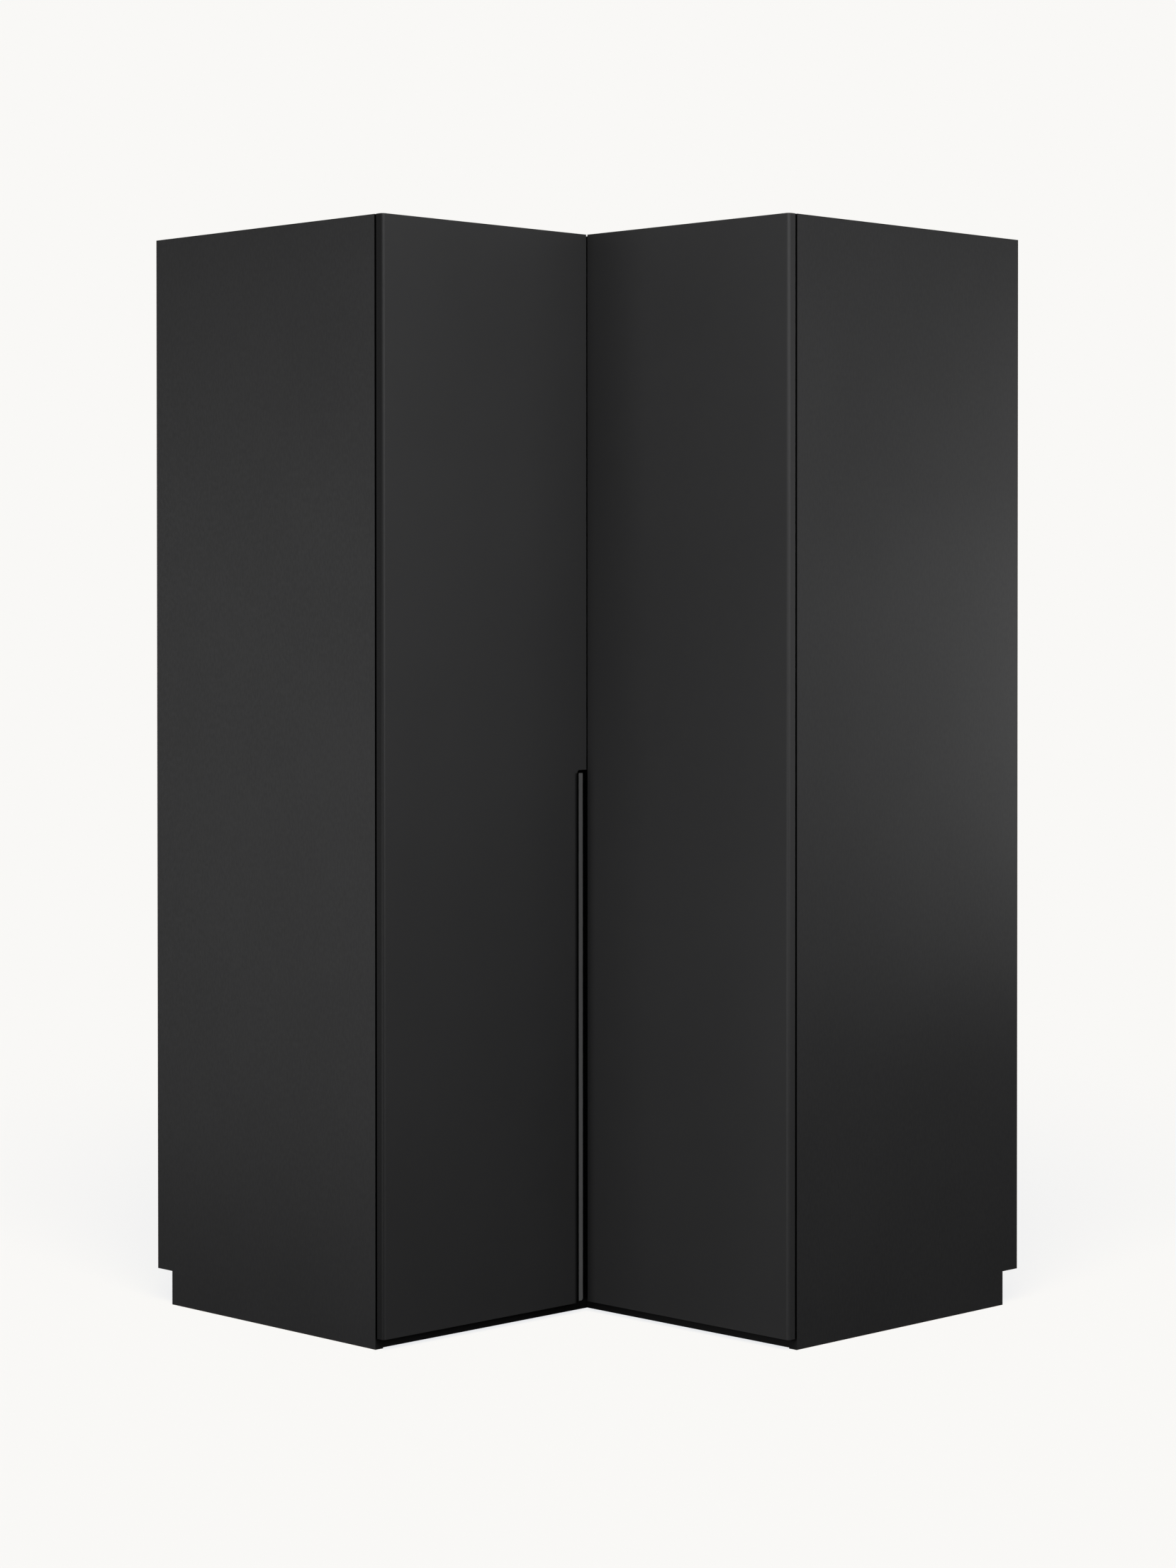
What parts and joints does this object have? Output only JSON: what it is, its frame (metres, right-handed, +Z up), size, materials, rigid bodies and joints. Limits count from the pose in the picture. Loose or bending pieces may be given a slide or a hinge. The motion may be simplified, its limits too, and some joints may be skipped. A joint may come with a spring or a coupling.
{
  "type": "corner wardrobe with doors",
  "caption": "L-shaped corner wardrobe whose two hinged doors meet in the inner corner, with a recessed vertical grip, a hat shelf and clothes rails inside.",
  "frame": {"origin": "on the floor, under the middle of the square that the L-shaped plan fills", "axes": "+Z up; the room's walls are the planes at the -X and +Y sides; the inner corner with the doors faces +X -Y, the left door faces +X and the right door faces -Y"},
  "size_m": [1.146, 1.146, 2],
  "materials": {
    "carcass_laminate": "matte black laminate with a fine pebbled texture, bare chipboard on the edges at the walls",
    "door_laminate": "super-matte black foil",
    "interior_laminate": "matte black laminate",
    "back_board": "matte black printed fibreboard, bare brown at the rear",
    "grip_aluminium": "satin black anodised",
    "rail_steel": "satin steel tube",
    "zinc_hardware": "bright zinc plated",
    "nickel_steel": "nickel plated",
    "steel_fasteners": "zinc plated",
    "black_plastic": "moulded matte black",
    "beech": "raw beech",
    "clear_rubber": "clear silicone"
  },
  "bodies": {
    "carcass": {"left_end_panel": "carcass_laminate", "right_end_panel": "carcass_laminate", "top_panel": "carcass_laminate", "bottom_panel": "interior_laminate", "rear_corner_post": "interior_laminate", "inner_corner_post": "interior_laminate", "left_back_panel_outer": "back_board", "left_back_panel_inner": "back_board", "right_back_panel_outer": "back_board", "right_back_panel_inner": "back_board", "back_joint_strips": "black_plastic", "hat_shelf": "interior_laminate", "shelf_supports": "steel_fasteners", "left_clothes_rail": "rail_steel", "right_clothes_rail": "rail_steel", "rail_sockets": "zinc_hardware", "rail_hangers": "zinc_hardware", "rail_end_caps": "black_plastic", "rail_screws": "steel_fasteners", "left_plinth": "carcass_laminate", "right_plinth": "carcass_laminate", "plinth_brackets": "zinc_hardware", "plinth_screws": "steel_fasteners", "foot_sockets": "black_plastic", "foot_spindles": "steel_fasteners", "foot_pads": "black_plastic", "cam_locks": "zinc_hardware", "cam_bolts": "steel_fasteners", "wood_dowels": "beech", "post_screws": "steel_fasteners", "screw_caps": "black_plastic", "wall_brackets": "zinc_hardware", "wall_bracket_screws": "steel_fasteners", "left_hinge_arms": "nickel_steel", "left_hinge_plates": "zinc_hardware", "left_plate_screws": "steel_fasteners", "left_arm_screws": "steel_fasteners", "right_hinge_arms": "nickel_steel", "right_hinge_plates": "zinc_hardware", "right_plate_screws": "steel_fasteners", "right_arm_screws": "steel_fasteners"},
    "left_door_leaf": {"left_door": "door_laminate", "grip_profile": "grip_aluminium", "grip_screws": "steel_fasteners", "left_hinge_cups": "nickel_steel", "left_hinge_pins": "steel_fasteners", "left_cup_screws": "steel_fasteners", "left_door_bumpers": "clear_rubber"},
    "right_door_leaf": {"right_door": "door_laminate", "right_hinge_cups": "nickel_steel", "right_hinge_pins": "steel_fasteners", "right_cup_screws": "steel_fasteners", "right_door_bumpers": "clear_rubber"}
  },
  "joints": [
    {"name": "left_door_hinge", "type": "hinge", "parent": "carcass", "child": "left_door_leaf", "pos_m": [0.0605, -0.564, 1], "axis": [0, 0, -1], "range_deg": [0, 100]},
    {"name": "right_door_hinge", "type": "hinge", "parent": "carcass", "child": "right_door_leaf", "pos_m": [0.564, -0.0605, 1], "axis": [0, 0, 1], "range_deg": [0, 100]}
  ]
}
